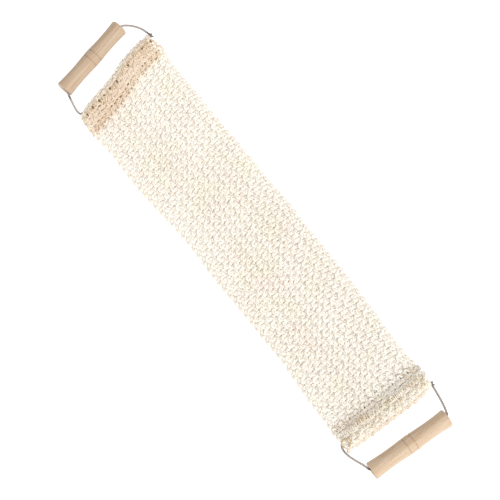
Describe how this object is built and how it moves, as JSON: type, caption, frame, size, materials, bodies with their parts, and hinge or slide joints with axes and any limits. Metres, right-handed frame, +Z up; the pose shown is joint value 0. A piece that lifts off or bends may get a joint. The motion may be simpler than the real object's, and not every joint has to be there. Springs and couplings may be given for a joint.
{
  "type": "loofah back scrubber",
  "caption": "Long knitted sisal back strap with folded, lashed ends and a turned wooden handle on a cord loop at each end.",
  "frame": {"origin": "on the surface it lies on, below the middle of the strap and handles", "axes": "+X along the strap from the left handle to the right handle, +Y across the strap towards the cords' knots, +Z up"},
  "size_m": [0.6336, 0.1419, 0.0212],
  "materials": {
    "strap_yarn": "rough hard-spun sisal yarn",
    "hem_yarn": "rough hard-spun sisal yarn, tanner",
    "lashing_yarn": "rough sisal yarn",
    "cord": "twisted jute cord",
    "handle_wood": "sanded, unvarnished beech"
  },
  "bodies": {
    "strap_middle": {"strap_panel_4": "strap_yarn"},
    "strap_length_3": {"strap_panel_3": "strap_yarn"},
    "strap_length_2": {"strap_panel_2": "strap_yarn"},
    "strap_left_end": {"strap_panel_1": "strap_yarn", "left_hem": "hem_yarn", "left_lashing": "lashing_yarn"},
    "strap_length_5": {"strap_panel_5": "strap_yarn"},
    "strap_length_6": {"strap_panel_6": "strap_yarn"},
    "strap_length_7": {"strap_panel_7": "strap_yarn"},
    "strap_right_end": {"strap_panel_8": "strap_yarn", "right_hem": "hem_yarn", "right_lashing": "lashing_yarn"},
    "left_bail": {"left_cord": "cord", "left_knot": "cord"},
    "right_bail": {"right_cord": "cord", "right_knot": "cord"},
    "left_grip": {"left_handle": "handle_wood"},
    "right_grip": {"right_handle": "handle_wood"}
  },
  "joints": [
    {"name": "strap_bend_1", "type": "hinge", "parent": "strap_length_2", "child": "strap_left_end", "pos_m": [-0.19637, 0, 0.0035], "axis": [0, 1, 0], "range_deg": [-30, 30]},
    {"name": "strap_bend_2", "type": "hinge", "parent": "strap_length_3", "child": "strap_length_2", "pos_m": [-0.12975, 0, 0.0035], "axis": [0, 1, 0], "range_deg": [-30, 30]},
    {"name": "strap_bend_3", "type": "hinge", "parent": "strap_middle", "child": "strap_length_3", "pos_m": [-0.06313, 0, 0.0035], "axis": [0, 1, 0], "range_deg": [-30, 30]},
    {"name": "strap_bend_4", "type": "hinge", "parent": "strap_middle", "child": "strap_length_5", "pos_m": [0.0035, 0, 0.0035], "axis": [0, -1, 0], "range_deg": [-30, 30]},
    {"name": "strap_bend_5", "type": "hinge", "parent": "strap_length_5", "child": "strap_length_6", "pos_m": [0.07013, 0, 0.0035], "axis": [0, -1, 0], "range_deg": [-30, 30]},
    {"name": "strap_bend_6", "type": "hinge", "parent": "strap_length_6", "child": "strap_length_7", "pos_m": [0.13675, 0, 0.0035], "axis": [0, -1, 0], "range_deg": [-30, 30]},
    {"name": "strap_bend_7", "type": "hinge", "parent": "strap_length_7", "child": "strap_right_end", "pos_m": [0.20338, 0, 0.0035], "axis": [0, -1, 0], "range_deg": [-30, 30]},
    {"name": "left_bail_swing", "type": "hinge", "parent": "strap_left_end", "child": "left_bail", "pos_m": [-0.2576, 0.00015, 0.007], "axis": [-0.2145, 0.9767, 0], "range_deg": [-110, 110]},
    {"name": "right_bail_swing", "type": "hinge", "parent": "strap_right_end", "child": "right_bail", "pos_m": [0.26095, -0.0002, 0.007], "axis": [-0.1009, -0.9949, 0], "range_deg": [-110, 110]},
    {"name": "left_handle_spin", "type": "hinge", "parent": "left_bail", "child": "left_grip", "pos_m": [-0.29399, -0.00995, 0.0106], "axis": [-0.2382, 0.9712, 0], "continuous": true},
    {"name": "right_handle_spin", "type": "hinge", "parent": "right_bail", "child": "right_grip", "pos_m": [0.303, -0.00372, 0.0106], "axis": [0.068, 0.9977, 0], "continuous": true}
  ]
}
